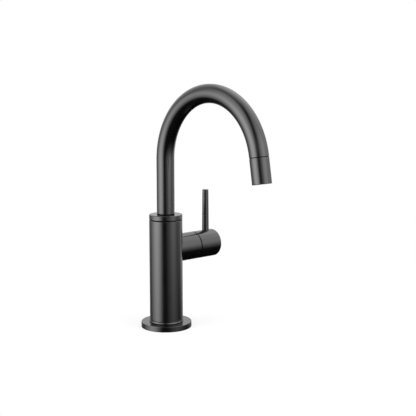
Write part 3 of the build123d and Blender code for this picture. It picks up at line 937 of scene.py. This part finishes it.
def white_air(scene, room_light):
    """White behind everything that is seen, straight or mirrored, and a faint light elsewhere."""
    world = bpy.data.worlds.new("white_air")
    graph = Graph(world)
    ray = graph.add("ShaderNodeLightPath", {}, {})
    seen = (ray["Is Camera Ray"] + ray["Is Glossy Ray"] + ray["Is Transmission Ray"]).clamped()
    strength = room_light + (1.0 - room_light) * seen
    sockets = {"Color": colour(WHITE), "Strength": strength}
    air = graph.add("ShaderNodeBackground", {}, sockets)["Background"]
    graph.add("ShaderNodeOutputWorld", {}, {"Surface": air})
    world.cycles.sampling_method = "NONE"
    scene.world = world


def dark_surround(opening, white_within, dark_beyond, dark_below, clear_above):
    """Dark cloth all round, seen in reflections only, with a soft opening towards the backdrop.

    The opening fades out from its middle, and downwards, where a dark table would hide it. The
    four limits are angles: two from the opening's middle and two above the level."""
    material, graph = new_graph("dark_cloth")
    towards = graph.vector("NORMALIZE", graph.place())
    near = graph.along(towards, opening).smooth(
        low=math.cos(math.radians(dark_beyond)), high=math.cos(math.radians(white_within))
    )
    raised = graph.along(towards, UPRIGHT).smooth(
        low=math.sin(math.radians(dark_below)), high=math.sin(math.radians(clear_above))
    )
    cloth = graph.add("ShaderNodeBsdfDiffuse", {}, {"Color": colour(BLACK)})["BSDF"]
    hole = graph.add("ShaderNodeBsdfTransparent", {}, {})["BSDF"]
    graph.finish(graph.mix(near * raised, cloth, hole))
    mesh = bpy.data.meshes.new("dark_surround")
    shape = bmesh.new()
    bmesh.ops.create_icosphere(shape, subdivisions=SURROUND_DETAIL, radius=SURROUND_RADIUS)
    shape.to_mesh(mesh)
    shape.free()
    mesh.materials.append(material)
    obj = link(bpy.data.objects.new("dark_surround", mesh))
    for ray in ("camera", "diffuse", "transmission", "shadow"):
        setattr(obj, f"visible_{ray}", False)


def pale_floor(settings):
    """A pale floor that takes the faucet's shadow and fades into the white air round it.

    The camera sees it a little brighter, so that it meets the white without an edge."""
    material, graph = new_graph("pale_floor")
    place = graph.place()
    mottle = graph.noise(place, settings.floor_mottle, detail=3.0)
    tone = graph.shades(mottle, settings.floor_colour, dark=0.99, light=1.01)
    matt = graph.add("ShaderNodeBsdfDiffuse", {}, {"Color": tone})["BSDF"]
    seen = graph.add("ShaderNodeLightPath", {}, {})["Is Camera Ray"]
    lift = graph.add("ShaderNodeEmission", {}, {"Strength": seen * settings.floor_lift})["Emission"]
    pale = graph.add("ShaderNodeAddShader", {}, {0: matt, 1: lift})["Shader"]
    air = graph.add("ShaderNodeBsdfTransparent", {}, {})["BSDF"]
    radius = settings.floor_radius
    faded = graph.measure("LENGTH", place).smooth(low=radius * 0.3, high=radius * 0.95)
    clear = 1.0 - (1.0 - faded) * settings.floor_share
    graph.finish(graph.mix(clear, pale, air))
    mesh = bpy.data.meshes.new("pale_floor")
    shape = bmesh.new()
    bmesh.ops.create_circle(shape, cap_ends=True, segments=FLOOR_SEGMENTS, radius=radius)
    shape.to_mesh(mesh)
    shape.free()
    mesh.materials.append(material)
    floor = link(bpy.data.objects.new("pale_floor", mesh))
    floor.location = (0.0, 0.0, cad_low.z)
    floor.visible_glossy = False
    floor.visible_shadow = False


class FAUCET_OT_studio(Operator):
    """Sets the camera, the white air, the pale floor, the dark surround and the soft boxes"""

    bl_idname = "faucet.studio"
    bl_label = "Studio"

    def execute(self, context):
        scene = context.scene
        settings = scene.faucet_studio
        camera = link(bpy.data.objects.new("camera", bpy.data.cameras.new("camera")))
        camera.location = settings.camera_place
        aim = Vector(settings.camera_aim) - Vector(settings.camera_place)
        camera.rotation_euler = aim.to_track_quat("-Z", "Y").to_euler()
        camera.data.sensor_width = SENSOR_WIDTH
        camera.data.lens = settings.lens
        scene.camera = camera
        scene.view_settings.view_transform = "Standard"

        white_air(scene, settings.room_light)
        pale_floor(settings)
        dark_surround(
            direction(azimuth=49, elevation=10),
            white_within=2, dark_beyond=97, dark_below=-34, clear_above=20,
        )
        far = settings.lamp_distance
        soft_box(
            "left_soft_box", settings.left_brightness, far,
            azimuth=159, elevation=-5, half_width=55, half_height=41,
        )
        soft_box(
            "high_left_soft_box", settings.high_left_brightness, far,
            azimuth=166, elevation=23, half_width=47, half_height=53,
        )
        soft_box(
            "right_soft_box", settings.right_brightness, far,
            azimuth=284, elevation=7, half_width=63, half_height=42,
        )
        soft_box(
            "high_right_soft_box", settings.high_right_brightness, far,
            azimuth=283, elevation=30, half_width=47, half_height=51,
        )
        soft_box(
            "back_soft_box", settings.back_brightness, far,
            azimuth=333, elevation=20, half_width=20, half_height=41,
        )
        soft_box(
            "low_back_soft_box", settings.low_back_brightness, far,
            azimuth=9, elevation=-10, half_width=40, half_height=11,
        )
        soft_box(
            "top_soft_box", settings.top_brightness, far,
            azimuth=2, elevation=66, half_width=43, half_height=49,
        )
        soft_box(
            "front_soft_box", settings.front_brightness, far,
            azimuth=228, elevation=20, half_width=30, half_height=16,
        )
        return {"FINISHED"}


class FAUCET_PT_panel(Panel):
    """Lists the faucet's pieces and its studio"""

    bl_idname = "FAUCET_PT_panel"
    bl_label = "Beverage faucet"
    bl_space_type = "VIEW_3D"
    bl_region_type = "UI"
    bl_category = "Faucet"

    def draw(self, context):
        for operator in OPERATORS:
            self.layout.operator(operator.bl_idname)
        for name in SETTINGS:
            group = getattr(context.scene, name)
            box = self.layout.box()
            for prop in group.bl_rna.properties:
                if prop.identifier not in {"rna_type", "name"}:
                    box.prop(group, prop.identifier)


SETTINGS = {
    "faucet_coat": CoatSettings,
    "faucet_grooves": GrooveSettings,
    "faucet_brass": BrassSettings,
    "faucet_rubber": RubberSettings,
    "faucet_plastic": PlasticSettings,
    "faucet_steel": SteelSettings,
    "faucet_ceramic": CeramicSettings,
    "faucet_studio": StudioSettings,
}
OPERATORS = (
    FAUCET_OT_flange,
    FAUCET_OT_column,
    FAUCET_OT_spout,
    FAUCET_OT_hub,
    FAUCET_OT_lever,
    FAUCET_OT_brass,
    FAUCET_OT_seals,
    FAUCET_OT_plastics,
    FAUCET_OT_steel,
    FAUCET_OT_ceramics,
    FAUCET_OT_studio,
)


def register():
    for group in SETTINGS.values():
        bpy.utils.register_class(group)
    for name, group in SETTINGS.items():
        setattr(bpy.types.Scene, name, PointerProperty(type=group))
    for operator in OPERATORS:
        bpy.utils.register_class(operator)
    bpy.utils.register_class(FAUCET_PT_panel)


def unregister():
    bpy.utils.unregister_class(FAUCET_PT_panel)
    for operator in reversed(OPERATORS):
        bpy.utils.unregister_class(operator)
    for name, group in SETTINGS.items():
        delattr(bpy.types.Scene, name)
        bpy.utils.unregister_class(group)


def main():
    register()
    bpy.ops.faucet.flange()
    bpy.ops.faucet.column()
    bpy.ops.faucet.spout()
    bpy.ops.faucet.hub()
    bpy.ops.faucet.lever()
    bpy.ops.faucet.brass()
    bpy.ops.faucet.seals()
    bpy.ops.faucet.plastics()
    bpy.ops.faucet.steel()
    bpy.ops.faucet.ceramics()
    bpy.ops.faucet.studio()


if __name__ == "__main__":
    main()
